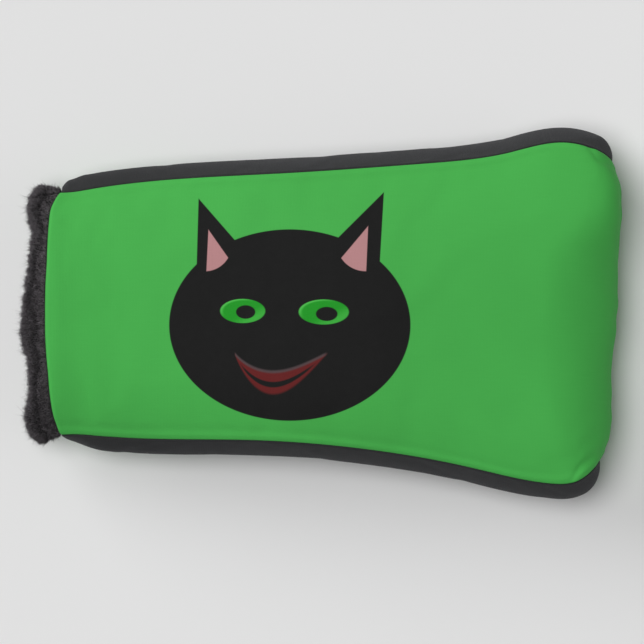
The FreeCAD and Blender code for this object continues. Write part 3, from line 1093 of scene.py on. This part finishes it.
def gusset_fabric():
    """Charcoal polyester with a coarser rib."""
    graph = Graph("gusset_fabric")
    flat = graph.flat_place()
    height = woven(graph, 0.6, 1.3)
    uneven = graph.noise(flat, 14.0)
    # Painted shade in the weave's low places, times uneven tone.
    weave_shade_and_tone = graph.linear(height, 0.25, 0.75)
    weave_shade_and_tone = graph.times(weave_shade_and_tone, graph.linear(uneven, 0.2, 0.9))
    colour = graph.mix(1.0, CHARCOAL, weave_shade_and_tone, "MULTIPLY")
    graph.sheen(0.04, 0.45, (0.9, 0.9, 1.0, 1))
    return graph.finish(colour, 0.78, graph.bump(height, 0.09 * BUMP, 0.7))


def foam_fabric():
    """Open-cell foam."""
    graph = Graph("foam")
    cells = {"Vector": graph.place(), "Scale": FOAM_CELLS}
    depth = graph.node("ShaderNodeTexVoronoi", cells, "Distance")
    # Painted shade: the cells' hollows are darker than their walls.
    colour = graph.mix(depth, FOAM_HOLLOW_SHADE, FOAM_WALL)
    return graph.finish(colour, 0.9, graph.bump(depth, 0.3 * BUMP, 0.8))


def pile(name, root, tip):
    """Pile: dark between the strands as painted shade, lighter towards their tips, uneven from tuft to
    tuft.
    """
    graph = Graph(name)
    place = graph.place()
    height = graph.node("ShaderNodeAttribute", {}, "Fac", attribute_name="pile_painted_shade")
    tufts = graph.noise(place, 2.2, 3.0)
    fibres = graph.noise(place, 0.35, 2.0)
    up = graph.math("POWER", height, 1.3)
    up = graph.times(up, graph.linear(tufts, 1.0, 0.4))
    up = graph.plus(up, graph.linear(fibres, 0.16, -0.08))
    # Painted shade: the lower a point is in the pile, the darker it is.
    colour = graph.mix(graph.scaled(up, 0.0, 1.0), root, tip)
    graph.sheen(0.15, 0.4, (0.9, 0.88, 0.9, 1))
    return graph.finish(colour, 0.9, graph.bump(fibres, 0.2 * BUMP, 0.6))


def thread_fibre():
    """Dark twisted polyester thread."""
    graph = Graph("thread")
    x, y, z = graph.axes(graph.place())
    ply = graph.plus(graph.plus(x, y), z)
    twist = graph.math("SINE", graph.times(ply, 2 * math.pi / PLY_TURN))
    # Painted shade: the thread is darker in the grooves between its plies.
    colour = graph.mix(graph.scaled(twist, -1.0, 1.0), THREAD_GROOVE_SHADE, THREAD_LIGHT)
    graph.sheen(0.2, 0.3, (1, 1, 1, 1))
    return graph.finish(colour, 0.55, graph.bump(twist, 0.08 * BUMP, 0.8))


# ---------------------------------------------------------------- the object

SHELL_NODES = {
    "front": "front_panel",
    "back": "back_panel",
    "left": "left_gusset",
    "right": "right_gusset",
}
# The foam stops short of the seams and of the mouth and far end: its reach across, and its shares along.
# A small gap parts it from the lining.
FOAM_EDGE = {"front": 0.94, "back": 0.94, "left": 0.87, "right": 0.87}
FOAM_FROM, FOAM_TO = 0.02, 0.985
LAYER_GAP = 0.2
FOAM_ROWS, FOAM_ACROSS = 81, 33
LINING_ROWS, LINING_ACROSS = 161, {"front": 101, "back": 101, "left": 33, "right": 33}


def build():
    """Every piece of the cover."""
    green, printed = panel_fabric("plain_fabric", False), panel_fabric("printed_fabric", True)
    charcoal, foam, thread = gusset_fabric(), foam_fabric(), thread_fibre()
    # The lining's pile has no painted-shade attribute, so it takes mostly the roots' painted shade.
    lining = pile("pile_lining", PILE_ROOT_SHADE, PILE_TIP)
    cuff = pile("pile_cuff", PILE_ROOT_SHADE, PILE_TIP)
    cloths = {"front": printed, "back": green, "left": charcoal, "right": charcoal}
    for name, node in SHELL_NODES.items():
        slot = "printed_fabric" if name in PANELS else "gusset_fabric"
        shell_piece(name, node, cloths[name], slot)
        edge = FOAM_EDGE[name]
        us, vs = np.linspace(FOAM_FROM, FOAM_TO, FOAM_ROWS), np.linspace(-edge, edge, FOAM_ACROSS)
        inner_piece(name, "foam", us, vs, FOAM_DEPTH, LINING_DEPTH - LAYER_GAP, foam, "foam")
        us, vs = np.linspace(0, 1, LINING_ROWS), np.linspace(-1, 1, LINING_ACROSS[name])
        inner_piece(name, "lining", us, vs, LINING_DEPTH, INNER_DEPTH, lining, "pile_lining")
        cuff_piece(name, cuff)
    for node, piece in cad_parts.items():
        if node.endswith("_thread"):
            piece.data.materials.clear()
            piece.data.materials.append(thread)


build()


# ---------------------------------------------------------------- floor, light and camera

FLOOR_SIZE = 12.0
FRAME_WIDTH = 0.219
LENS, SENSOR = 500.0, 36.0
LOOK_AT = Vector(placed((94.5, -3.75, FRONT_HEIGHT)))
FLOOR_GREYS = (0.79, 0.79, 0.79, 1), (0.80, 0.80, 0.80, 1)
WORLD_STRENGTH = 0.10
# Each sun's name, its direction around and up, its power and its softness.
SUNS = [("overhead", 168, 78, 1.82, 30), ("key", 147, 26, 1.70, 45), ("fill", 0, 22, 0.33, 45)]


def stage_floor():
    """A wide pale floor under the cover."""
    graph = Graph("floor")
    colour = graph.mix(graph.noise(graph.place(), 60.0), *FLOOR_GREYS)
    mesh = bpy.data.meshes.new("floor")
    half = FLOOR_SIZE / 2
    corners = [(-half, -half, 0), (half, -half, 0), (half, half, 0), (-half, half, 0)]
    mesh.from_pydata(corners, [], [(0, 1, 2, 3)])
    mesh.materials.append(graph.finish(colour, 0.9))
    floor = bpy.data.objects.new("floor", mesh)
    bpy.context.scene.collection.objects.link(floor)


def sun(name, around, up, power, softness):
    """A soft distant light: around counts from +X towards +Y, and up from the floor, in degrees."""
    light = bpy.data.lights.new(name, "SUN")
    light.energy, light.angle = power, math.radians(softness)
    lamp = bpy.data.objects.new(name, light)
    around, up = math.radians(around), math.radians(up)
    way = (math.cos(up) * math.cos(around), math.cos(up) * math.sin(around), math.sin(up))
    lamp.rotation_euler = Vector(way).to_track_quat("Z", "Y").to_euler()
    bpy.context.scene.collection.objects.link(lamp)


def studio():
    """Plain soft light: one from overhead, one from the upper left, and a weak one from the right."""
    world = bpy.data.worlds.new("studio")
    world.use_nodes = True
    surround = world.node_tree.nodes["Background"]
    surround.inputs["Color"].default_value = (1, 1, 1, 1)
    surround.inputs["Strength"].default_value = WORLD_STRENGTH
    bpy.context.scene.world = world
    for light in SUNS:
        sun(*light)
    bpy.context.scene.view_settings.view_transform = "Standard"


def camera():
    """Straight down on the front panel, through a long lens."""
    lens = bpy.data.cameras.new("camera")
    lens.lens, lens.sensor_width = LENS, SENSOR
    lens.clip_start, lens.clip_end = 0.1, 20
    eye = bpy.data.objects.new("camera", lens)
    eye.location = LOOK_AT + Vector((0, 0, FRAME_WIDTH * LENS / SENSOR))
    bpy.context.scene.collection.objects.link(eye)
    bpy.context.scene.camera = eye


stage_floor()
studio()
camera()
